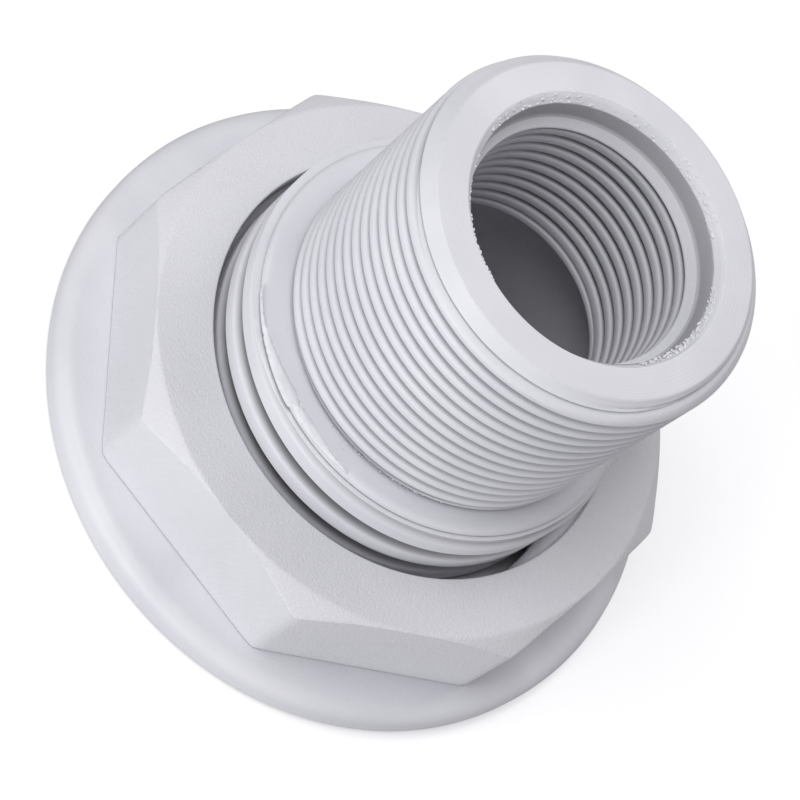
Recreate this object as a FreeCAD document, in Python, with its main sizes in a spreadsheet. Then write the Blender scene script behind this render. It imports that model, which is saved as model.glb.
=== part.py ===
# Flanged plastic tank connector with an octagonal back nut and its sealing washer.
# Frame: origin at the centre of the flange's outer face, +Z along the axis towards
# the pipe end. The part stands on its flange. Lengths are in millimetres.
import FreeCAD, Part
import os
import re
import Sketcher

# Driving sizes. Radii are measured from the connector's axis, heights from the flange's outer face.
sizes = {
    "flangeRadius": 44.8,
    "flangeThickness": 5.0,
    "flangeTopRound": 2.2,
    "flangeBottomRound": 1.0,
    "totalLength": 65.0,
    "chamberRadius": 21.0,
    "chamberDepth": 34.7,
    "lipBevel": 2.8,
    "socketMinorRadius": 15.3,
    "socketMouthRadius": 16.6,
    "socketMouthDepth": 4.0,
    "socketMouthBevel": 1.1,
    "endBevelIn": 0.4,
    "endBevelOut": 2.3,
    "endBevelOutDepth": 2.6,
    "spigotRadius": 23.9,
    "collarInset": 0.1,
    "collarHeight": 1.4,
    "shoulderHeight": 28.4,
    "threadCrestRadius": 28.2,
    "threadDepth": 1.5,
    "threadPitch": 5.08,
    "grooveMouth": 2.6,
    "grooveFloor": 1.2,
    "grooveStart": 7.4,
    "cutterOverrun": 0.5,
    "reliefHeight": 4.0,
    "reliefBevel": 1.5,
    "nutFlats": 75.6,
    "nutThickness": 15.0,
    "nutDraft": 1.2,
    "nutTurnedBy": 0.7,
    "nutBevelRadius": 37.4,
    "nutBevelAngle": 39.0,
    "nutSeatGap": 0.1,
    "nutThreadStart": 15.0,
    "nutThreadTurnsUp": 2,
    "nutRootGap": 1.4,
    "crestGap": 0.45,
    "flankGap": 0.25,
    "washerWidth": 4.4,
    "washerThickness": 2.0,
    "washerBoreGap": 0.4,
    "washerPocketGap": 0.3,
    "washerPocketHeadroom": 0.1,
}

# Formulas that several features share
threadRoot = "(threadCrestRadius - threadDepth)"
flankSlope = "((grooveMouth - grooveFloor) / 2 / threadDepth)"
nutBase = "(flangeThickness + nutSeatGap)"
nutTop = "(flangeThickness + nutSeatGap + nutThickness)"
nutRoot = "(threadCrestRadius + nutRootGap)"
washerBore = "(threadCrestRadius + washerBoreGap)"
washerRim = "(threadCrestRadius + washerBoreGap + washerWidth)"
pocketRoof = "(flangeThickness + nutSeatGap + washerThickness + washerPocketHeadroom)"

doc = FreeCAD.newDocument("TankConnector")
sheet = doc.addObject("Spreadsheet::Sheet", "Sizes")
for row, (word, size) in enumerate(sizes.items(), start=1):
    sheet.set(f"A{row}", word)
    sheet.set(f"B{row}", str(size))
    sheet.setAlias(f"B{row}", word)
doc.recompute()


def inSheet(formula):
    """The formula with the sheet's name before each of its size words."""
    return re.sub(
        r"[A-Za-z]+", lambda word: f"Sizes.{word[0]}" if word[0] in sizes else word[0], formula
    )


def newBody(name, label):
    body = doc.addObject("PartDesign::Body", name)
    body.Label = label
    return body


def newSketch(body, name, role):
    """A sketch on one of the body's own origin planes."""
    plane = next(item for item in body.Origin.OriginFeatures if item.Role == role)
    sketch = body.newObject("Sketcher::SketchObject", name)
    sketch.AttachmentSupport = [(plane, "")]
    sketch.MapMode = "FlatFace"
    return sketch


def closedOutline(sketch, corners):
    """Straight edges from corner to corner, and back to the first."""
    count = len(corners)
    for index, corner in enumerate(corners):
        sketch.addGeometry(Part.LineSegment(corner, corners[(index + 1) % count]), False)
    for index in range(count):
        joint = Sketcher.Constraint("Coincident", index, 2, (index + 1) % count, 1)
        sketch.addConstraint(joint)


def ring(count, radius, centre):
    """Points spread evenly round a circle, the first one half a step past the X axis."""
    step = FreeCAD.Rotation(FreeCAD.Vector(0, 0, 1), 360 / count)
    half = FreeCAD.Rotation(FreeCAD.Vector(0, 0, 1), 180 / count)
    arm = half.multVec(FreeCAD.Vector(radius, 0, 0))
    points = []
    for _ in range(count):
        points.append(centre + arm)
        arm = step.multVec(arm)
    return points


def profile(body, name, corners):
    """A half section in the XZ plane. Each corner is a radius formula and a height formula."""
    sketch = newSketch(body, name, "XZ_Plane")
    # the corners start in order round a circle, and the formulas carry them to their places
    starts = ring(len(corners), 20, FreeCAD.Vector(30, 30, 0))
    closedOutline(sketch, starts)
    for index, (radius, height) in enumerate(corners):
        for kind, formula, start in (
            ("DistanceX", radius, starts[index].x),
            ("DistanceY", height, starts[index].y),
        ):
            held = sketch.addConstraint(Sketcher.Constraint(kind, -1, 1, index, 1, start))
            sketch.setExpression(f"Constraints[{held}]", inSheet(formula))
    return sketch


def turned(body, name, kind, corners):
    """A full turn of a profile about the axis, added or cut away."""
    outline = profile(body, name + "Outline", corners)
    feature = body.newObject(kind, name)
    feature.Profile = outline
    feature.ReferenceAxis = (outline, ["V_Axis"])
    feature.Angle = 360
    doc.recompute()
    return feature


def leftHandHelix(body, name, kind, corners, rise, downwards):
    """A profile swept along a left-hand thread of the connector's pitch."""
    outline = profile(body, name + "Outline", corners)
    feature = body.newObject(kind, name)
    feature.Profile = outline
    feature.ReferenceAxis = (outline, ["V_Axis"])
    feature.Mode = "pitch-height-angle"
    feature.LeftHanded = True
    feature.Reversed = downwards
    feature.setExpression("Pitch", inSheet("threadPitch"))
    feature.setExpression("Height", inSheet(rise))
    return feature, outline


def roundedEdge(body, name, word, edgeRadius, edgeHeight):
    """A fillet on the circular edge of this radius at this height."""
    base = body.Tip
    found = []
    for index, edge in enumerate(base.Shape.Edges, start=1):
        if not isinstance(edge.Curve, Part.Circle):
            continue
        sameRadius = abs(edge.Curve.Radius - edgeRadius) < 0.001
        sameHeight = abs(edge.Curve.Center.z - edgeHeight) < 0.001
        if sameRadius and sameHeight:
            found.append(f"Edge{index}")
    fillet = body.newObject("PartDesign::Fillet", name)
    fillet.Base = (base, found)
    fillet.setExpression("Radius", inSheet(word))
    doc.recompute()


def makeConnector():
    """The one-piece moulding: flange, coarse barrel, collar and spigot round an open bore."""
    body = newBody("Connector", "connector_body")
    chamberRoof = "chamberDepth + lipBevel"
    reliefTop = "flangeThickness + reliefHeight"
    # the collar is a little smaller than the thread's root, so that the nut slides over it
    collarRadius = f"{threadRoot} - collarInset"
    turned(
        body,
        "ConnectorTurned",
        "PartDesign::Revolution",
        [
            ("chamberRadius", "0"),
            ("flangeRadius", "0"),
            ("flangeRadius", "flangeThickness"),
            (threadRoot, "flangeThickness"),
            (threadRoot, reliefTop),
            ("threadCrestRadius", reliefTop + "+ reliefBevel"),
            ("threadCrestRadius", "shoulderHeight"),
            (collarRadius, "shoulderHeight"),
            (collarRadius, "shoulderHeight + collarHeight"),
            ("spigotRadius", "shoulderHeight + collarHeight"),
            ("spigotRadius", "totalLength - endBevelOutDepth"),
            ("spigotRadius - endBevelOut", "totalLength"),
            ("socketMouthRadius + endBevelIn", "totalLength"),
            ("socketMouthRadius", "totalLength - endBevelIn"),
            ("socketMouthRadius", "totalLength - socketMouthDepth"),
            ("socketMinorRadius", "totalLength - socketMouthDepth - socketMouthBevel"),
            ("socketMinorRadius", chamberRoof),
            ("chamberRadius", "chamberDepth"),
        ],
    )
    rim = sizes["flangeRadius"]
    roundedEdge(body, "FlangeTopRound", "flangeTopRound", rim, sizes["flangeThickness"])
    roundedEdge(body, "FlangeBottomRound", "flangeBottomRound", rim, 0)
    # the groove starts in the relief above the flange and runs out through the shoulder
    halfMouth = f"(grooveMouth / 2 + {flankSlope} * cutterOverrun)"
    leftHandHelix(
        body,
        "BarrelGroove",
        "PartDesign::SubtractiveHelix",
        [
            (threadRoot, "grooveStart - grooveFloor / 2"),
            ("threadCrestRadius + cutterOverrun", f"grooveStart - {halfMouth}"),
            ("threadCrestRadius + cutterOverrun", f"grooveStart + {halfMouth}"),
            (threadRoot, "grooveStart + grooveFloor / 2"),
        ],
        "shoulderHeight + grooveMouth - grooveStart",
        False,
    )
    return body


def makeNut():
    """The octagonal back nut, screwed down until it meets the flange."""
    body = newBody("Nut", "back_nut")
    sides = 8
    octagon = newSketch(body, "NutOctagon", "XY_Plane")
    octagon.setExpression(".AttachmentOffset.Base.z", inSheet(nutBase))
    octagon.setExpression(".AttachmentOffset.Rotation.Angle", inSheet("nutTurnedBy"))
    start = sizes["nutFlats"] / 2
    closedOutline(octagon, ring(sides, start, FreeCAD.Vector()))
    circle = Part.Circle(FreeCAD.Vector(), FreeCAD.Vector(0, 0, 1), start)
    guide = octagon.addGeometry(circle, True)
    octagon.addConstraint(Sketcher.Constraint("Coincident", guide, 3, -1, 1))
    tips = octagon.addConstraint(Sketcher.Constraint("Radius", guide, start))
    octagon.setExpression(f"Constraints[{tips}]", inSheet("nutFlats / 2 / cos(22.5 deg)"))
    for index in range(sides):
        octagon.addConstraint(Sketcher.Constraint("PointOnObject", index, 1, guide))
    for index in range(1, sides):
        octagon.addConstraint(Sketcher.Constraint("Equal", 0, index))
    octagon.addConstraint(Sketcher.Constraint("Vertical", sides - 1))
    block = body.newObject("PartDesign::Pad", "NutBlock")
    block.Profile = octagon
    block.setExpression("Length", inSheet("nutThickness"))
    block.setExpression("TaperAngle", inSheet("-nutDraft"))
    doc.recompute()
    reach = "nutFlats / 8"
    turned(
        body,
        "NutBevel",
        "PartDesign::Groove",
        [
            ("nutBevelRadius", nutTop),
            (f"nutBevelRadius + {reach}", nutTop),
            (f"nutBevelRadius + {reach}", f"{nutTop} - {reach} * tan(nutBevelAngle * 1 deg)"),
        ],
    )
    turned(
        body,
        "NutBore",
        "PartDesign::Groove",
        [
            ("0", f"{nutBase} - cutterOverrun"),
            (nutRoot, f"{nutBase} - cutterOverrun"),
            (nutRoot, f"{nutTop} + cutterOverrun"),
            ("0", f"{nutTop} + cutterOverrun"),
        ],
    )
    # the ridge keeps to the middle of the barrel's groove, so its height follows from the angle
    ridge = f"(grooveStart + threadPitch * (nutThreadTurnsUp + nutThreadStart / 360))"
    tipHalf = f"(grooveFloor / 2 + {flankSlope} * crestGap - flankGap)"
    wallRadius = f"({nutRoot} + cutterOverrun)"
    wallHalf = f"(grooveFloor / 2 + {flankSlope} * ({wallRadius} - {threadRoot}) - flankGap)"
    _, outline = leftHandHelix(
        body,
        "NutThread",
        "PartDesign::AdditiveHelix",
        [
            (f"{threadRoot} + crestGap", f"{ridge} - {tipHalf}"),
            (wallRadius, f"{ridge} - {wallHalf}"),
            (wallRadius, f"{ridge} + {wallHalf}"),
            (f"{threadRoot} + crestGap", f"{ridge} + {tipHalf}"),
        ],
        f"{ridge} - {nutBase}",
        True,
    )
    outline.AttachmentOffset = FreeCAD.Placement(
        FreeCAD.Vector(), FreeCAD.Rotation(FreeCAD.Vector(0, 1, 0), -sizes["nutThreadStart"])
    )
    doc.recompute()
    # the washer's pocket also trims the thread's lower end
    turned(
        body,
        "WasherPocket",
        "PartDesign::Groove",
        [
            ("0", f"{nutBase} - threadPitch"),
            (f"{washerRim} + washerPocketGap", f"{nutBase} - threadPitch"),
            (f"{washerRim} + washerPocketGap", pocketRoof),
            ("0", pocketRoof),
        ],
    )
    return body


def makeWasher():
    """The flat rubber washer in the nut's back face."""
    body = newBody("Washer", "sealing_washer")
    turned(
        body,
        "WasherTurned",
        "PartDesign::Revolution",
        [
            (washerBore, nutBase),
            (washerRim, nutBase),
            (washerRim, f"{nutBase} + washerThickness"),
            (washerBore, f"{nutBase} + washerThickness"),
        ],
    )
    return body


parts = [makeConnector(), makeNut(), makeWasher()]
doc.recompute()

for item in doc.Objects:
    if "Invalid" in item.State or "Error" in item.State:
        raise RuntimeError(f"{item.Name} failed: {item.State}")
for body in parts:
    if body.Shape.isNull() or not body.Shape.isValid():
        raise RuntimeError(f"{body.Label} has no valid shape")

os.makedirs("parts", exist_ok=True)
for body in parts:
    body.Shape.exportStep(f"parts/{body.Label}.step")
    box = body.Shape.BoundBox
    print(
        body.Label,
        f"{len(body.Shape.Solids)} solid, {body.Shape.Volume:.0f} mm3,",
        f"X {box.XMin:.2f} to {box.XMax:.2f}, Z {box.ZMin:.2f} to {box.ZMax:.2f}",
    )
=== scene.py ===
import math
import random

import bmesh
import bpy
from mathutils import Matrix, Vector, noise


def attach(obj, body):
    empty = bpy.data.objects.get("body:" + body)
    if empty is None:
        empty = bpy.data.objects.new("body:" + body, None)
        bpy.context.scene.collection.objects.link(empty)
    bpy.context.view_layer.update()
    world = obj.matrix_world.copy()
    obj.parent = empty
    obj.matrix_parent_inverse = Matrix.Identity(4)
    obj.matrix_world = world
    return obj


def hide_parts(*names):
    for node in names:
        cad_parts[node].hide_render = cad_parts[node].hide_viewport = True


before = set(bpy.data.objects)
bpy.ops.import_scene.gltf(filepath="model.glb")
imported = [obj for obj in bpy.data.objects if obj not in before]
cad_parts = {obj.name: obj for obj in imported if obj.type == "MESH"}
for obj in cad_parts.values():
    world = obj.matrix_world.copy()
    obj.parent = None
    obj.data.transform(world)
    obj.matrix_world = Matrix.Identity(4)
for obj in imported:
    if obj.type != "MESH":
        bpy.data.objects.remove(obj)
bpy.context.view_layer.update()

mm = 0.001  # sizes are in millimetres until a point becomes a vertex


def metres(radius, angle, height):
    return Vector((radius * math.cos(angle), radius * math.sin(angle), height)) * mm


def blend(low, high, share):
    return low + (high - low) * share


def smooth(start, end, value):
    share = min(max((value - start) / (end - start), 0.0), 1.0)
    return share * share * (3.0 - 2.0 * share)


def turnBetween(angle, centre):  # signed difference of two angles, in radians
    return (angle - centre + math.pi) % (2 * math.pi) - math.pi


def follow(points, value):  # straight lines through (value, result) pairs
    for (lowValue, low), (highValue, high) in zip(points, points[1:]):
        if value <= highValue:
            return blend(low, high, (value - lowValue) / (highValue - lowValue))
    return points[-1][1]


def roundedLine(corners, steps=3):
    # corners are (radius, height, rounding); a rounding is how far back from the corner the curve starts
    line = [corners[0][:2]]
    for before, corner, after in zip(corners, corners[1:], corners[2:]):
        back = corner[2]
        here = Vector(corner[:2])
        if back == 0:
            line.append(tuple(here))
            continue
        start = here + (Vector(before[:2]) - here).normalized() * back
        end = here + (Vector(after[:2]) - here).normalized() * back
        for step in range(steps + 1):
            share = step / steps
            line.append(tuple(start.lerp(here, share).lerp(here.lerp(end, share), share)))
    line.append(corners[-1][:2])
    return line


# a shell is a closed skin of rings and screw threads, one column for each angle

def newShell(columns, firstAngle):
    angles = [firstAngle + 2 * math.pi * (index + 0.5) / columns for index in range(columns)]
    return {"angles": angles, "points": [], "faces": [], "first": None, "last": None}


def joinRows(shell, low, high):
    count = len(shell["angles"])
    for column in range(count):
        after = (column + 1) % count
        shell["faces"].append((low + column, low + after, high + after, high + column))


def addRow(shell, radiusAndHeight):  # the function gives (radius, height) for an angle
    start = len(shell["points"])
    for angle in shell["angles"]:
        radius, height = radiusAndHeight(angle)
        shell["points"].append(metres(radius, angle, height))
    if shell["last"] is None:
        shell["first"] = start
    else:
        joinRows(shell, shell["last"], start)
    shell["last"] = start


def addRings(shell, line):
    for radius, height in line:
        addRow(shell, lambda angle: (radius, height))


def addScrew(shell, thread, low, high, radiusAt, upwards):
    # the rows climb with the thread, so that its crest is one unbroken edge
    pitch, hand, phases = thread["pitch"], thread["hand"], thread["phases"]
    perTurn, count = len(phases), len(shell["angles"])
    base = thread["grooveAt"] + pitch * (math.floor((low - thread["grooveAt"]) / pitch) - 1)
    rows = perTurn * (math.ceil((high - base) / pitch) + 2)
    start = len(shell["points"])
    for row in range(rows):
        turn, phase = divmod(row, perTurn)
        for angle in shell["angles"]:
            rise = hand * (angle - shell["angles"][0]) / (2 * math.pi)
            height = base + pitch * (turn + phases[phase] + rise)
            height = min(max(height, low), high)
            shell["points"].append(metres(radiusAt(angle, height), angle, height))
    for row in range(rows - 1):
        here = start + row * count
        for column in range(count - 1):
            corner = here + column
            shell["faces"].append((corner, corner + 1, corner + 1 + count, corner + count))
        over = row + hand * perTurn
        if 0 <= over < rows - 1:
            there, corner = start + over * count, here + count - 1
            shell["faces"].append((corner, there, there + count, corner + count))
    lowest, highest = start, start + (rows - 1) * count
    joinRows(shell, shell["last"], lowest if upwards else highest)
    shell["last"] = highest if upwards else lowest


def grooveOffset(thread, angle, height):  # height above the nearest groove's centre line
    pitch = thread["pitch"]
    turned = (angle - thread["grooveAngle"]) / (2 * math.pi)
    offset = height - thread["grooveHeight"] - thread["hand"] * pitch * turned
    return (offset + pitch / 2) % pitch - pitch / 2


def alignRows(thread, shell):  # finds the groove's height at the shell's first column
    turned = (shell["angles"][0] - thread["grooveAngle"]) / (2 * math.pi)
    thread["grooveAt"] = thread["grooveHeight"] + thread["hand"] * thread["pitch"] * turned


meshCare = {
    "mergeWithin": 2e-6,  # metres
    "leastEdge": 1e-6,
    "sharpFrom": math.radians(38),
}


def makePiece(name, shell, material, body, node):
    joinRows(shell, shell["last"], shell["first"])
    mesh = bpy.data.meshes.new(name)
    mesh.from_pydata(shell["points"], [], shell["faces"])
    work = bmesh.new()
    work.from_mesh(mesh)
    bmesh.ops.remove_doubles(work, verts=work.verts, dist=meshCare["mergeWithin"])
    bmesh.ops.dissolve_degenerate(work, edges=work.edges, dist=meshCare["leastEdge"])
    bmesh.ops.recalc_face_normals(work, faces=work.faces)
    work.to_mesh(mesh)
    work.free()
    piece = bpy.data.objects.new(name, mesh)
    bpy.context.collection.objects.link(piece)
    mesh.materials.append(material)
    mesh.shade_smooth()
    mesh.set_sharp_from_angle(angle=meshCare["sharpFrom"])
    # broad faces keep their own shading, and only the narrow ones beside them turn the light
    evened = piece.modifiers.new("evenNormals", "WEIGHTED_NORMAL")
    evened.keep_sharp = True
    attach(piece, body)
    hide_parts(node)
    print(name, "has", len(mesh.polygons), "faces")


def linear(hexColour):  # colours are written as sRGB hex and turned to linear here
    channels = [int(hexColour[place:place + 2], 16) / 255 for place in (1, 3, 5)]
    curved = [c / 12.92 if c <= 0.04045 else ((c + 0.055) / 1.055) ** 2.4 for c in channels]
    return (*curved, 1.0)


def addNode(tree, kind, settings=None, links=None):
    # settings name a property or a socket; links go from (node, output) to this node's inputs
    node = tree.nodes.new(kind)
    for word, value in (settings or {}).items():
        if isinstance(word, int) or word in node.inputs:
            node.inputs[word].default_value = value
        else:
            setattr(node, word, value)
    for word, (source, output) in (links or {}).items():
        tree.links.new(source.outputs[output], node.inputs[word])
    return node


def patternScale(size):  # texture scale that repeats a pattern after this many millimetres
    return 1 / (size * mm)


def newMaterial(name):
    material = bpy.data.materials.new(name)
    material.use_nodes = True
    tree = material.node_tree
    tree.nodes.clear()
    return material, tree


# injection-moulded ABS: dense off-white plastic with a satin skin, faint flow marks and a fine grain
connectorPlastic = {
    "colour": "#E2E2E8",
    "flowColour": "#D9D9E0",
    "flowSize": 22.0,  # mm across a flow mark
    "grainSize": 0.5,  # mm; the real spark-eroded grain is about 0.1 mm, drawn coarser so that it shows
    "grainDepth": 0.04,  # mm
    "roughness": 0.5,
    "roughnessSpread": 0.08,
    "paintedShadeReach": 2.2,  # mm
    "paintedShadeFull": 0.12,  # openness of a place that is fully under the painted shade
    "paintedShadeNone": 0.5,  # and of one that has no painted shade
    "paintedShadeLeft": 0.4,  # how much light the full painted shade leaves
    # zones of painted shade: height from and to, radius from and to, radius where the painted shade is full
    # and where it ends, how much light is left there, and the zone's centre; all in mm
    "paintedShadeZones": [
        (37.8, 59.9, 15.0, 17.0, 16.1, 15.42, 0.16, (0.0, 0.0)),  # the bore's thread, painted shade in its grooves
        (60.95, 63.9, 16.0, 17.3, 30.0, 31.0, 0.72, (0.0, 0.0)),  # the mouth, all of it painted a little darker as shade
        (1.0, 37.2, 20.5, 21.3, 30.0, 31.0, 0.85, (0.0, 0.0)),  # the chamber, painted darker as shade
        (29.9, 62.6, 22.0, 24.5, 22.75, 23.6, 0.55, (0.0, 0.0)),  # the spigot's thread, painted shade in its grooves
        (63.75, 64.15, 21.0, 23.2, 21.95, 22.3, 0.4, (0.0, 0.0)),  # the torn ring, painted shade in it
        (14.0, 28.2, 24.0, 30.0, 26.2, 28.2, 0.16, (-0.36, 0.21)),  # the barrel's groove, painted shade in it
        (9.0, 14.0, 24.0, 30.0, 25.2, 26.25, 0.16, (-0.36, 0.21)),  # its lowest turn, with the painted shade kept off the foot
    ],
    "turningMark": 0.45,  # mm between the tool's rings on the cut end
    "turningDepth": 0.012,
    "waveSpacing": 0.31,  # a wave texture of scale 1 has its rings this far apart
    "turnedAbove": 64.9,
}
# the nut is from a coarser mould: the same ABS with a duller, sandier skin
nutPlastic = {
    "colour": "#E1E1E7",
    "flowColour": "#DADAE0",
    "flowSize": 30.0,
    "grainSize": 0.36,
    "grainDepth": 0.12,
    "roughness": 0.55,
    "roughnessSpread": 0.1,
    "paintedShadeReach": 2.2,
    "paintedShadeFull": 0.12,
    "paintedShadeNone": 0.55,
    "paintedShadeLeft": 0.3,
}


def addPaintedShadeZone(tree, place, along, paintedShadeFactor, zone):
    # painted shade: the deeper a point lies in a groove, the darker its colour is painted
    low, high, inner, outer, fullShadeRadius, noShadeRadius, shade, centre = zone
    moved = addNode(
        tree, "ShaderNodeVectorMath",
        {"operation": "MULTIPLY_ADD", 1: (1, 1, 0), 2: (-centre[0] * mm, -centre[1] * mm, 0)},
        {0: (place, "Object")},
    )
    across = addNode(tree, "ShaderNodeVectorMath", {"operation": "LENGTH"}, {0: (moved, "Vector")})
    depth = addNode(
        tree, "ShaderNodeMapRange",
        {"From Min": fullShadeRadius * mm, "From Max": noShadeRadius * mm, "To Min": shade},
        {"Value": (across, "Value")},
    )
    atHeight = addNode(
        tree, "ShaderNodeMath",
        {"operation": "COMPARE", 1: (low + high) / 2 * mm, 2: (high - low) / 2 * mm},
        {0: (along, "Z")},
    )
    atRadius = addNode(
        tree, "ShaderNodeMath",
        {"operation": "COMPARE", 1: (inner + outer) / 2 * mm, 2: (outer - inner) / 2 * mm},
        {0: (across, "Value")},
    )
    inZone = addNode(
        tree, "ShaderNodeMath", {"operation": "MULTIPLY"},
        {0: (atHeight, "Value"), 1: (atRadius, "Value")},
    )
    return addNode(
        tree, "ShaderNodeMix", {"data_type": "FLOAT"},
        {0: (inZone, "Value"), 2: paintedShadeFactor, 3: (depth, "Result")},
    )


def addTurningMarks(tree, place, along, bump, look):
    # the end was cut on a lathe, so that face alone has fine rings
    rings = addNode(
        tree, "ShaderNodeTexWave",
        {
            "wave_type": "RINGS", "rings_direction": "Z",
            "Scale": patternScale(look["turningMark"]) * look["waveSpacing"],
            "Distortion": 2.0, "Detail": 2.0, "Detail Scale": 0.4,
        },
        {"Vector": (place, "Object")},
    )
    onEnd = addNode(
        tree, "ShaderNodeMath", {"operation": "GREATER_THAN", 1: look["turnedAbove"] * mm},
        {0: (along, "Z")},
    )
    marks = addNode(
        tree, "ShaderNodeMath", {"operation": "MULTIPLY"},
        {0: (rings, "Fac"), 1: (onEnd, "Value")},
    )
    return addNode(
        tree, "ShaderNodeBump",
        {"Strength": 1.0, "Distance": look["turningDepth"] * mm},
        {"Height": (marks, "Value"), "Normal": (bump, "Normal")},
    )


def mouldedPlastic(name, look):
    material, tree = newMaterial(name)
    place = addNode(tree, "ShaderNodeTexCoord")
    flow = addNode(
        tree, "ShaderNodeTexNoise",
        {"Scale": patternScale(look["flowSize"]), "Detail": 3.0, "Distortion": 0.6},
        {"Vector": (place, "Object")},
    )
    spread = addNode(
        tree, "ShaderNodeMapRange", {"From Min": 0.35, "From Max": 0.65}, {"Value": (flow, "Fac")},
    )
    colour = addNode(
        tree, "ShaderNodeMix",
        {"data_type": "RGBA", 6: linear(look["colour"]), 7: linear(look["flowColour"])},
        {0: (spread, "Result")},
    )
    # painted shade: the colour darkens where ambient occlusion finds the surface sheltered, which draws
    # each thread with a dark line
    shelter = addNode(
        tree, "ShaderNodeAmbientOcclusion", {"samples": 8, "Distance": look["paintedShadeReach"] * mm},
    )
    paintedShadeMap = addNode(
        tree, "ShaderNodeMapRange",
        {"From Min": look["paintedShadeFull"], "From Max": look["paintedShadeNone"], "To Min": look["paintedShadeLeft"]},
        {"Value": (shelter, "AO")},
    )
    along = addNode(tree, "ShaderNodeSeparateXYZ", None, {"Vector": (place, "Object")})
    paintedShadeFactor = (paintedShadeMap, "Result")
    # each zone paints more shade into the colour
    for zone in look.get("paintedShadeZones", []):
        paintedShadeFactor = (addPaintedShadeZone(tree, place, along, paintedShadeFactor, zone), 0)
    shaded = addNode(
        tree, "ShaderNodeMix",
        {"data_type": "RGBA", 6: (0, 0, 0, 1)},
        {0: paintedShadeFactor, 7: (colour, 2)},
    )
    grain = addNode(
        tree, "ShaderNodeTexNoise",
        {"Scale": patternScale(look["grainSize"]), "Detail": 2.0, "Roughness": 0.6},
        {"Vector": (place, "Object")},
    )
    rough = addNode(
        tree, "ShaderNodeMapRange",
        {
            "To Min": look["roughness"] - look["roughnessSpread"],
            "To Max": look["roughness"] + look["roughnessSpread"],
        },
        {"Value": (flow, "Fac")},
    )
    relief = addNode(
        tree, "ShaderNodeBump",
        {"Strength": 1.0, "Distance": look["grainDepth"] * mm},
        {"Height": (grain, "Fac")},
    )
    if "turningMark" in look:
        relief = addTurningMarks(tree, place, along, relief, look)
    skin = addNode(
        tree, "ShaderNodeBsdfPrincipled",
        {"IOR": 1.53, "Specular IOR Level": 0.4},
        {"Base Color": (shaded, 2), "Roughness": (rough, "Result"), "Normal": (relief, "Normal")},
    )
    addNode(tree, "ShaderNodeOutputMaterial", None, {"Surface": (skin, "BSDF")})
    return material


# pressed EPDM rubber: matt black, with a trace of bloom
washerRubber = {
    "colour": "#1B1B1D",
    "bloomColour": "#2A2A2C",
    "bloomSize": 4.0,
    "grainSize": 0.3,
    "grainDepth": 0.02,
    "roughness": 0.8,
    "roughnessSpread": 0.06,
    "paintedShadeReach": 1.0,
    "paintedShadeFull": 0.2,
    "paintedShadeNone": 0.8,
    "paintedShadeLeft": 0.6,
}


def pressedRubber(name, look):
    plastic = dict(look, flowColour=look["bloomColour"], flowSize=look["bloomSize"])
    return mouldedPlastic(name, plastic)


# torn plastic scatters light, so the crumbs and the flash look whiter than the skin that they are on
tornPlastic = {
    "colour": "#EAEAEF",
    "flowColour": "#DDDDE3",
    "flowSize": 1.2,
    "grainSize": 0.25,
    "grainDepth": 0.04,
    "roughness": 0.7,
    "roughnessSpread": 0.1,
    "paintedShadeReach": 0.6,
    "paintedShadeFull": 0.1,
    "paintedShadeNone": 0.5,
    "paintedShadeLeft": 0.5,
}

whiteAbs = mouldedPlastic("mouldedAbsSatin", connectorPlastic)
tornAbs = mouldedPlastic("tornAbs", tornPlastic)
grainedAbs = mouldedPlastic("mouldedAbsGrained", nutPlastic)
blackEpdm = pressedRubber("pressedEpdmRubber", washerRubber)
print("materials made")


# the connector: one moulding
connector = {
    "columns": 264,
    "length": 65.0,
    "flangeRadius": 44.8,
    "flangeThickness": 5.0,
    "flangeTopRound": 2.4,
    "flangeBottomRound": 1.0,
    "chamberRadius": 21.0,
    "chamberDepth": 34.7,
    "lipHeight": 37.5,
    "boreCrest": 15.3,
    "boreRoot": 16.55,
    "mouthRadius": 16.55,
    "mouthOuter": 17.75,
    "mouthEdges": [(17.3, 0.5), (16.95, 0.95), (16.82, 1.05), (16.78, 1.17)],  # radius, depth
    "mouthShift": 0.2,  # the mouth's edge is off centre by this much
    "mouthShiftTowards": math.radians(-60),
    "mouthRoughness": 0.07,  # how far the cut wanders across
    "mouthUneven": 0.05,  # and up and down
    "mouthDepth": 3.75,
    "ledgeDepth": 5.05,
    "faceRadius": 21.6,
    "bevelDepth": 2.55,
    # the cutter tore a ring into the bevel, deepest on one side
    "tornDown": 1.05,
    "tornLeast": 0.12,
    "tornMore": 0.45,
    "tornAt": math.radians(0),
    "tornSpread": 0.4,  # radians
    "spigotCrest": 23.9,
    "spigotRoot": 22.45,
    "barrelRoot": 26.7,
    "barrelFoot": 25.1,
    "barrelReach": 28.5,  # the washer's hole of 28.6 passes over it
    "shallowGroove": 27.5,  # the topmost groove starts at this radius
    "grooveFull": 26.9,  # and has its whole depth from this height down
    "grooveFade": 0.8,
    "shoulderHeight": 28.4,
    "collarRadius": 27.0,
    "collarTop": 29.7,
    "lean": 0.42,  # the mould halves meet a little off centre, so barrel and collar lean this way
    "leanTowards": math.radians(150),
    "reliefTop": 9.0,
    "screwFrom": 6.0,
}

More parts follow.
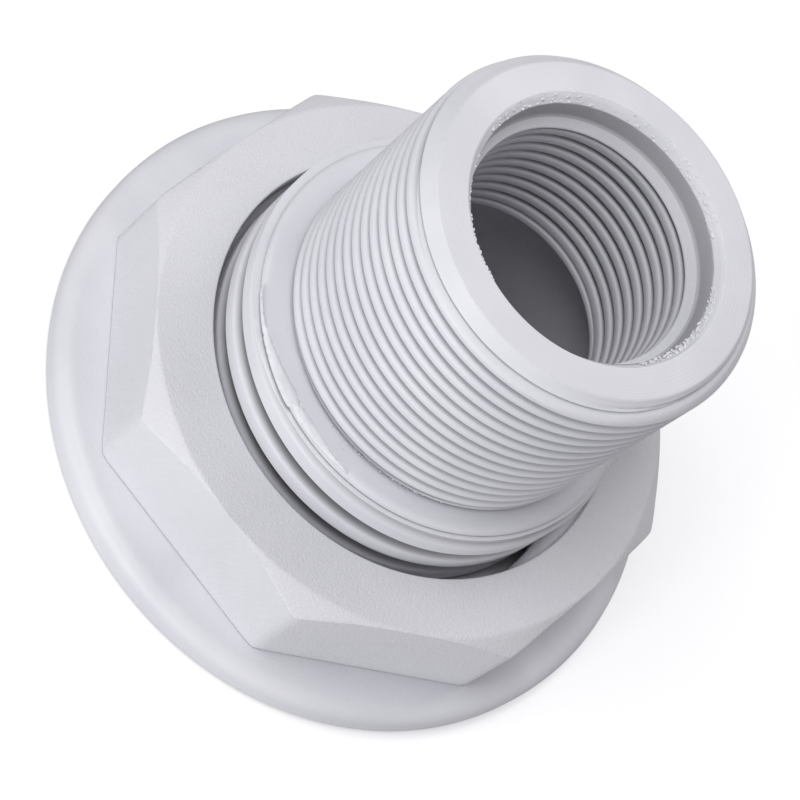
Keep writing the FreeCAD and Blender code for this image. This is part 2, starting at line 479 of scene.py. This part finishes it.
# the forms of the fine threads: height above the groove in pitches, share of the thread's depth;
# the phases are the heights of a turn's rows above the groove, as shares of the pitch
spigotThread = {
    "pitch": 2.309,
    "hand": 1,
    "grooveAngle": math.radians(-90),
    "grooveHeight": 60.85,
    "phases": [0.0, 0.05, 0.11, 0.19, 0.28, 0.38, 0.62, 0.72, 0.81, 0.89, 0.95],
    "form": [(0.0, 0.0), (0.05, 0.08), (0.11, 0.38), (0.19, 0.74), (0.28, 0.93), (0.38, 0.99), (0.5, 1.0)],
}
boreThread = {
    "pitch": 2.309,
    "hand": 1,
    "grooveAngle": math.radians(90),
    "grooveHeight": 59.4,
    "phases": [0.0, 0.05, 0.1, 0.18, 0.28, 0.4, 0.6, 0.72, 0.82, 0.9, 0.95],
    "form": [(0.0, 1.0), (0.05, 0.85), (0.1, 0.45), (0.18, 0.15), (0.28, 0.03), (0.4, 0.0), (0.5, 0.0)],
}
# the coarse one has a sharp lower edge on each crest and a rounded upper one: height in mm, radius
barrelThread = {
    "pitch": 5.08,
    "hand": -1,
    "grooveAngle": 0.0,
    "grooveHeight": 7.4,
    "phases": [0.138, 0.217, 0.252, 0.262, 0.5, 0.665, 0.715, 0.764, 0.813, 0.862, 0.921, 0.98],
    "form": [
        (-2.54, 28.2), (-1.7, 28.2), (-1.45, 28.12), (-1.2, 27.88), (-0.95, 27.35), (-0.7, 26.45),
        (-0.4, 25.4), (-0.1, 25.1), (0.7, 25.1), (1.1, 26.2), (1.28, 28.1), (1.33, 28.2), (2.54, 28.2),
    ],
}
# the collar has a crease at its foot, an upright wall and a rounded rim: step out from its radius, height
collarForm = [
    (0.1, 28.4), (-0.22, 28.42), (-0.22, 28.56), (0.0, 28.66), (0.0, 29.12),
    (-0.05, 29.32), (-0.22, 29.52), (-0.55, 29.64), (-1.1, 29.7),
]


def makeConnector():
    size = connector
    shell = newShell(size["columns"], 0.0)
    top = size["length"]
    spigotDepth = size["spigotCrest"] - size["spigotRoot"]
    for thread in (barrelThread, spigotThread, boreThread):
        alignRows(thread, shell)

    def offCentre(angle):
        return size["lean"] * math.cos(angle - size["leanTowards"])

    def barrelRadius(angle, height):
        above = grooveOffset(barrelThread, angle, height)
        grooveTop = size["grooveFull"] + size["grooveFade"]
        started = 1 - smooth(size["grooveFull"], grooveTop, height - above)
        floor = blend(size["shallowGroove"], size["barrelFoot"], started)
        radius = max(follow(barrelThread["form"], above), floor)
        relief = size["barrelRoot"] + max(0.0, height - size["reliefTop"])
        shift = offCentre(angle) * smooth(size["reliefTop"], size["reliefTop"] + 4, height)
        return min(min(radius, relief) + shift, size["barrelReach"])

    def mouthEdge(angle, radius, height):
        # a noise of about nine cells to a radian makes the cut's edge ragged
        rough = noise.noise(Vector((9 * math.cos(angle), 9 * math.sin(angle), 3)))
        shift = size["mouthShift"] * math.cos(angle - size["mouthShiftTowards"])
        return radius + shift + size["mouthRoughness"] * rough, height + size["mouthUneven"] * rough

    def spigotRadius(angle, height):
        above = grooveOffset(spigotThread, angle, height) / spigotThread["pitch"]
        radius = size["spigotRoot"] + spigotDepth * follow(spigotThread["form"], abs(above))
        down = top - height
        slope = (size["spigotCrest"] - size["faceRadius"]) / size["bevelDepth"]
        bevel = size["faceRadius"] + slope * down
        tornShare = math.exp(-(turnBetween(angle, size["tornAt"]) / size["tornSpread"]) ** 2)
        torn = size["tornLeast"] + size["tornMore"] * tornShare
        # where the tear is deeper it is also wider
        ringMark = torn * math.exp(-((down - size["tornDown"]) / (0.1 + 0.25 * torn)) ** 2)
        # the thread runs out in a small cone at its foot
        foot = size["spigotRoot"] + 0.5 + 1.2 * (height - size["collarTop"] - 0.2)
        return min(radius, bevel, foot) - ringMark

    def boreRadius(angle, height):
        above = grooveOffset(boreThread, angle, height) / boreThread["pitch"]
        depth = size["boreRoot"] - size["boreCrest"]
        fade = smooth(size["lipHeight"] + 0.6, size["lipHeight"] + 2.4, height)
        return size["boreCrest"] + depth * fade * follow(boreThread["form"], abs(above))

    # from the chamber's edge round the flange to the barrel's foot; rows at 32 and 34 mm divide the flats
    addRings(shell, roundedLine([
        (size["chamberRadius"], 1.4, 0),
        (size["chamberRadius"], 0.0, 0.4),
        (32.0, 0.0, 0),
        (size["flangeRadius"], 0.0, size["flangeBottomRound"]),
        (size["flangeRadius"], size["flangeThickness"], size["flangeTopRound"]),
        (34.0, size["flangeThickness"], 0),
        (size["barrelRoot"], size["flangeThickness"], 0.5),
        (size["barrelRoot"], size["screwFrom"] - 0.1, 0),
    ], 6))
    addScrew(shell, barrelThread, size["screwFrom"], size["shoulderHeight"] - 0.1, barrelRadius, True)
    for out, height in collarForm:
        addRow(shell, lambda angle: (size["collarRadius"] + offCentre(angle) + out, height))
    addRings(shell, [(24.6, size["collarTop"]), (23.1, size["collarTop"] + 0.06)])
    addScrew(shell, spigotThread, size["collarTop"] + 0.35, top - 0.25, spigotRadius, True)
    # the cut end
    addRings(shell, roundedLine([
        (size["faceRadius"] + 0.2, top - 0.2, 0),
        (size["faceRadius"] - 0.15, top, 0),
        (size["mouthOuter"] + 0.1, top, 0),
        (size["mouthOuter"] - 0.1, top - 0.07, 0),
    ]))
    for radius, down in size["mouthEdges"]:
        addRow(shell, lambda angle: mouthEdge(angle, radius, top - down))
    # the mouth, its ledge and a ring groove at the ledge's foot
    addRings(shell, roundedLine([
        (size["mouthRadius"] + 0.1, top - 1.6, 0),
        (size["mouthRadius"], top - size["mouthDepth"], 0.2),
        (size["boreCrest"] + 0.02, top - size["ledgeDepth"], 0.15),
        (size["boreCrest"], top - size["ledgeDepth"] - 0.14, 0),
        (size["boreRoot"] - 0.3, top - size["ledgeDepth"] - 0.3, 0),
        (size["boreRoot"] - 0.3, top - size["ledgeDepth"] - 0.55, 0),
    ]))
    addScrew(shell, boreThread, size["lipHeight"] + 0.5, top - size["ledgeDepth"] - 0.75, boreRadius, False)
    # the lip at the bore's inner end and the chamber
    addRings(shell, roundedLine([
        (size["boreCrest"], size["lipHeight"] + 0.4, 0),
        (size["boreCrest"], size["lipHeight"], 0.25),
        (size["chamberRadius"], size["chamberDepth"], 0.5),
        (size["chamberRadius"], 20.0, 0),
    ]))
    makePiece("connectorMoulding", shell, whiteAbs, "connector", "connector_body")


makeConnector()


# crumbs and torn threads of plastic that the cutting left on the connector
crumbs = {
    "seed": 7,
    # name, how many, from and to in degrees, radius from and to, height from and to, size from and to
    "groups": [
        ("mouthLeftCrumbs", 120, -178, -98, 16.74, 16.98, 63.82, 64.0, 0.1, 0.3),
        ("mouthTopCrumbs", 700, 55, 192, 16.78, 17.8, 63.93, 64.93, 0.08, 0.46),
        ("mouthRightCrumbs", 260, -24, 34, 16.68, 17.3, 63.82, 64.4, 0.08, 0.36),
        ("threadFootCrumbs", 170, -82, 2, 23.05, 23.4, 29.76, 29.9, 0.1, 0.34),
        ("threadFootLeftCrumbs", 36, -118, -80, 23.2, 23.5, 29.7, 29.76, 0.08, 0.2),
        ("collarCrumbs", 24, -96, -60, 23.5, 24.6, 29.68, 29.74, 0.1, 0.3),
    ],
    "lift": 0.1,  # how far a crumb's middle stands off its place, as a share of half its size
    "stretch": [(0.7, 1.3), (0.8, 2.2), (0.5, 0.9)],  # least and most, across, along and up
    "twist": 0.5,  # radians
    "bumpSize": 1.3,
    "bumpDepth": 0.5,
    "noiseReach": 50,
}


def addTornPiece(name, mesh):
    mesh.materials.append(tornAbs)
    mesh.shade_smooth()
    piece = bpy.data.objects.new(name, mesh)
    bpy.context.collection.objects.link(piece)
    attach(piece, "connector")


def makeCrumbs():
    dice = random.Random(crumbs["seed"])
    ball = bmesh.new()
    bmesh.ops.create_icosphere(ball, subdivisions=2, radius=1.0)
    ballPoints = [corner.co.copy() for corner in ball.verts]
    ballFaces = [[corner.index for corner in face.verts] for face in ball.faces]
    ball.free()
    ceiling = connector["length"] * mm  # nothing stands higher than the cut end
    for group in crumbs["groups"]:
        name, count, fromAngle, toAngle, fromRadius, toRadius, fromHeight, toHeight, small, large = group
        points, faces = [], []
        for _ in range(count):
            angle = math.radians(dice.uniform(fromAngle, toAngle))
            share = dice.random()
            radius, height = blend(fromRadius, toRadius, share), blend(fromHeight, toHeight, share)
            half = blend(small, large, dice.random() ** 2) / 2
            stretch = Vector([dice.uniform(*limits) for limits in crumbs["stretch"]])
            turn = Matrix.Rotation(angle + dice.uniform(-crumbs["twist"], crumbs["twist"]), 3, "Z")
            centre = metres(radius, angle, height + crumbs["lift"] * half)
            shift = Vector([dice.uniform(0, crumbs["noiseReach"]) for _ in range(3)])
            start = len(points)
            lump = []
            for corner in ballPoints:
                bumpy = 1 + crumbs["bumpDepth"] * noise.noise(corner * crumbs["bumpSize"] + shift)
                lump.append(centre + turn @ (corner * stretch * bumpy * half * mm))
            over = max(0.0, max(point.z for point in lump) - ceiling)
            points += [point - Vector((0, 0, over)) for point in lump]
            faces += [tuple(start + corner for corner in face) for face in ballFaces]
        mesh = bpy.data.meshes.new(name)
        mesh.from_pydata(points, [], faces)
        addTornPiece(name, mesh)
    print("crumbs made:", len(crumbs["groups"]), "groups")


# a thin smeared sheet that the mould's edge left on the collar's rim
flash = {
    "height": 29.7,
    # angle in degrees, radius of the sheet's inner edge, radius of its outer edge
    "edges": [
        (-135, 27.5, 27.55), (-130, 27.42, 27.62), (-125, 27.2, 27.52), (-122, 26.8, 27.48),
        (-115, 26.2, 27.5), (-108, 25.8, 27.55), (-104, 25.65, 27.6), (-101.5, 25.7, 27.4),
        (-100.4, 26.2, 26.9), (-99, 25.7, 27.15), (-96, 25.55, 27.1), (-91, 25.6, 27.0),
        (-88, 25.8, 26.9), (-83, 26.2, 26.75), (-78, 26.5, 26.6),
    ],
    "step": 0.5,  # degrees between cross-sections
    "thick": 0.16,
    "leastThick": 0.02,
    "firstTaper": 4.0,  # degrees over which each end thins out
    "lastTaper": 2.5,
    "droop": 0.35,
    "droopFrom": 26.6,
    "ragged": 0.12,
    "reach": 27.5,  # the nut's ridge passes just outside it
}


def makeFlash():
    size = flash
    inner = [(angle, low) for angle, low, _ in size["edges"]]
    outer = [(angle, high) for angle, _, high in size["edges"]]
    first, last = inner[0][0], inner[-1][0]
    count = round((last - first) / size["step"])
    points, faces = [], []
    for index in range(count + 1):
        degrees = blend(first, last, index / count)
        angle = math.radians(degrees)
        wobble = size["ragged"] * noise.noise(Vector((degrees * 0.9, 0, 0)))
        low, high = follow(inner, degrees) - wobble, follow(outer, degrees) + wobble
        over = max(0.0, high - size["reach"])
        low, high = low - over, high - over
        taper = min(1.0, (last - degrees) / size["lastTaper"], (degrees - first) / size["firstTaper"])
        thick = size["thick"] * taper + size["leastThick"]
        height = size["height"]
        droop = size["droop"] * max(0.0, high - size["droopFrom"])
        section = [
            (low, height - 0.05),
            (low + 0.05, height + thick * 0.7),
            (blend(low, high, 0.4), height + thick),
            (blend(low, high, 0.8), height + thick * 0.7 - droop * 0.4),
            (high, height - droop * 0.8),
            (high - 0.04, height - 0.12 - droop),
            (blend(low, high, 0.5), height - 0.3),
        ]
        points += [metres(radius, angle, z) for radius, z in section]
    ring = len(section)
    for index in range(count):
        for corner in range(ring):
            here, after = index * ring + corner, index * ring + (corner + 1) % ring
            faces.append((here, here + ring, after + ring, after))
    faces.append(tuple(range(ring)))
    faces.append(tuple(reversed(range(count * ring, (count + 1) * ring))))
    mesh = bpy.data.meshes.new("collarFlash")
    mesh.from_pydata(points, [], faces)
    work = bmesh.new()
    work.from_mesh(mesh)
    bmesh.ops.recalc_face_normals(work, faces=work.faces)
    work.to_mesh(mesh)
    work.free()
    addTornPiece("collarFlash", mesh)
    print("flash made:", len(faces), "faces")


makeCrumbs()
makeFlash()


# the back nut: one moulding
nut = {
    "columns": 264,
    "turnedBy": math.radians(0.7),
    "sides": 8,
    "flats": 75.6,
    "draft": math.radians(1.2),
    "cornerLoss": 0.16,  # how much the corners' rounding takes off
    "cornerSpread": 0.22,
    "base": 5.02,
    "top": 20.1,
    "bevelRadius": 37.4,
    "bevelAngle": math.radians(39),
    "edgeRows": [(0.0, 0.21), (0.1, 0.0225)],  # step in and step down from the bevel's outer edge
    "footRound": 0.08,
    "boreRadius": 29.6,
    # mm from the middle of the ridge, radius
    "ridgeForm": [(0.0, 27.55), (0.46, 27.57), (0.66, 27.8), (1.55, 29.32), (1.85, 29.56), (9.0, 29.6)],
    "threadStart": math.radians(-16.5),
    "threadRamp": math.radians(16.5),
    "threadTurns": 2,
    "pocketRadius": 33.3,
    "pocketRoof": 7.2,
}


def makeNut():
    size = nut
    shell = newShell(size["columns"], size["turnedBy"])
    pitch = barrelThread["pitch"]
    startTurns = size["threadTurns"] - size["threadStart"] / (2 * math.pi)
    startHeight = barrelThread["grooveHeight"] + pitch * startTurns
    ridge = {
        "pitch": pitch,
        "hand": barrelThread["hand"],
        "grooveAngle": size["threadStart"],
        "grooveHeight": startHeight - pitch / 2,
        "phases": [0.0, 0.12, 0.165, 0.2, 0.38, 0.4, 0.5, 0.6, 0.62, 0.8, 0.835, 0.88],
    }
    alignRows(ridge, shell)

    def ridgeRadius(angle, height):
        fromStart = (angle - size["threadStart"]) % (2 * math.pi)
        turnsDown = (startHeight - height) / pitch - fromStart / (2 * math.pi)
        nearest = max(round(turnsDown), 0)
        away = abs(turnsDown - nearest) * pitch
        grown = min(fromStart / size["threadRamp"], 1.0) if nearest == 0 else 1.0
        return blend(size["boreRadius"], follow(size["ridgeForm"], away), grown)

    def flatRadius(angle, height):
        away = turnBetween(size["sides"] * (angle - size["turnedBy"]), 0.0) / size["sides"]
        apothem = size["flats"] / 2 - (height - size["base"]) * math.tan(size["draft"])
        sharp = apothem / math.cos(away)
        corner = apothem / math.cos(math.pi / size["sides"])
        return sharp - size["cornerLoss"] * math.exp(-(corner - sharp) / size["cornerSpread"])

    def sideEdge(angle):  # height at which the flat's top meets the bevel
        slope = math.tan(size["bevelAngle"])
        height = size["top"]
        for _ in range(4):
            height = size["top"] - max(flatRadius(angle, height) - size["bevelRadius"], 0.05) * slope
        return height

    addRings(shell, roundedLine([
        (size["boreRadius"] + 0.4, size["pocketRoof"], 0),
        (size["pocketRadius"], size["pocketRoof"], 0.2),
        (size["pocketRadius"], size["base"], 0.15),
        (size["pocketRadius"] + 1.2, size["base"], 0),
    ]))
    foot = size["footRound"]
    addRow(shell, lambda angle: (flatRadius(angle, size["base"]) - foot, size["base"]))
    addRow(shell, lambda angle: (flatRadius(angle, size["base"]), size["base"] + foot))
    for share in (0.25, 0.5, 0.75):
        addRow(shell, lambda angle: (
            flatRadius(angle, blend(size["base"], sideEdge(angle), share)),
            blend(size["base"], sideEdge(angle), share),
        ))
    for inset, drop in size["edgeRows"]:
        addRow(shell, lambda angle: (flatRadius(angle, sideEdge(angle)) - inset, sideEdge(angle) - drop))

    def bevelPoint(angle, share):
        edge, height = flatRadius(angle, sideEdge(angle)), sideEdge(angle)
        return blend(edge, size["bevelRadius"], share), blend(height, size["top"], share)

    for share in (0.12, 0.4, 0.7, 0.94):
        addRow(shell, lambda angle: bevelPoint(angle, share))
    # the flat face, in rings that only divide it, and the bore
    addRings(shell, [(size["bevelRadius"] - 0.3, size["top"]), (34.5, size["top"]), (31.5, size["top"])])
    addRings(shell, roundedLine([
        (31.0, size["top"], 0),
        (size["boreRadius"], size["top"], 0.3),
        (size["boreRadius"], size["top"] - 0.5, 0),
    ]))
    addScrew(shell, ridge, size["pocketRoof"], size["top"] - 0.6, ridgeRadius, False)
    makePiece("backNut", shell, grainedAbs, "nut", "back_nut")


makeNut()


# the washer: its CAD ring is right as it is, and takes the rubber
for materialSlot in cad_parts["sealing_washer"].material_slots:
    materialSlot.material = blackEpdm
print("washer dressed")


# floor and light
studio = {
    "floorColour": "#D6D6D9",
    "floorGlow": 0.46,
    "floorHalf": 4.0,
    "worldStrength": 0.3,
    "aim": (0, 0, 0.03),
    # name, power in watts, size in metres, place
    "lights": [
        ("overheadLight", 1.2, 0.24, (-0.13, -0.13, 0.49)),
        ("frontLight", 0.98, 0.12, (-0.02, -0.487, 0.07)),
        ("backLight", 0.5, 0.25, (0.0, 0.33, 0.40)),
    ],
}


def areaLight(name, power, size, place):
    lamp = bpy.data.lights.new(name, "AREA")
    lamp.energy = power
    lamp.size = size
    holder = bpy.data.objects.new(name, lamp)
    holder.location = place
    holder.rotation_euler = (Vector(studio["aim"]) - Vector(place)).to_track_quat("-Z", "Y").to_euler()
    bpy.context.collection.objects.link(holder)


def makeStudio():
    mesh = bpy.data.meshes.new("studioFloor")
    half = studio["floorHalf"]
    corners = [(-half, -half, 0), (half, -half, 0), (half, half, 0), (-half, half, 0)]
    mesh.from_pydata(corners, [], [(0, 1, 2, 3)])
    floor = bpy.data.objects.new("studioFloor", mesh)
    bpy.context.collection.objects.link(floor)
    material, tree = newMaterial("paleFloor")
    matt = addNode(tree, "ShaderNodeBsdfDiffuse", {"Color": linear(studio["floorColour"])})
    glow = addNode(tree, "ShaderNodeEmission", {"Color": (1, 1, 1, 1), "Strength": studio["floorGlow"]})
    # only the camera sees the glow, so the floor reads white and sheds no light into the bore
    eye = addNode(tree, "ShaderNodeLightPath")
    glowSeen = addNode(
        tree, "ShaderNodeMixShader", None, {"Fac": (eye, "Is Camera Ray"), 2: (glow, "Emission")},
    )
    both = addNode(tree, "ShaderNodeAddShader", None, {0: (matt, "BSDF"), 1: (glowSeen, "Shader")})
    addNode(tree, "ShaderNodeOutputMaterial", None, {"Surface": (both, "Shader")})
    mesh.materials.append(material)

    world = bpy.data.worlds.new("studioWorld")
    bpy.context.scene.world = world
    world.use_nodes = True
    sky = world.node_tree.nodes["Background"]
    sky.inputs["Color"].default_value = (1, 1, 1, 1)
    sky.inputs["Strength"].default_value = studio["worldStrength"]
    for name, power, size, place in studio["lights"]:
        areaLight(name, power, size, place)


makeStudio()

# the camera stands on the -Y side, above, and is turned about its own line of sight
photoView = {
    "place": (0.0, -0.2037, 0.29882),
    "right": (0.60179, 0.64931, 0.46502),
    "up": (-0.79862, 0.49413, 0.34356),
    "lens": 118.05,
    "sensor": 36.0,
    "clipStart": 0.01,
}


def makeCamera():
    lens = bpy.data.cameras.new("photoCamera")
    lens.lens = photoView["lens"]
    lens.sensor_width = photoView["sensor"]
    lens.clip_start = photoView["clipStart"]
    camera = bpy.data.objects.new("photoCamera", lens)
    right, up = Vector(photoView["right"]).normalized(), Vector(photoView["up"])
    back = right.cross(up).normalized()
    up = back.cross(right)
    turn = Matrix((right, up, back)).transposed().to_4x4()
    camera.matrix_world = Matrix.Translation(photoView["place"]) @ turn
    bpy.context.collection.objects.link(camera)
    bpy.context.scene.camera = camera


makeCamera()
bpy.context.scene.view_settings.view_transform = "Standard"
print("studio ready")
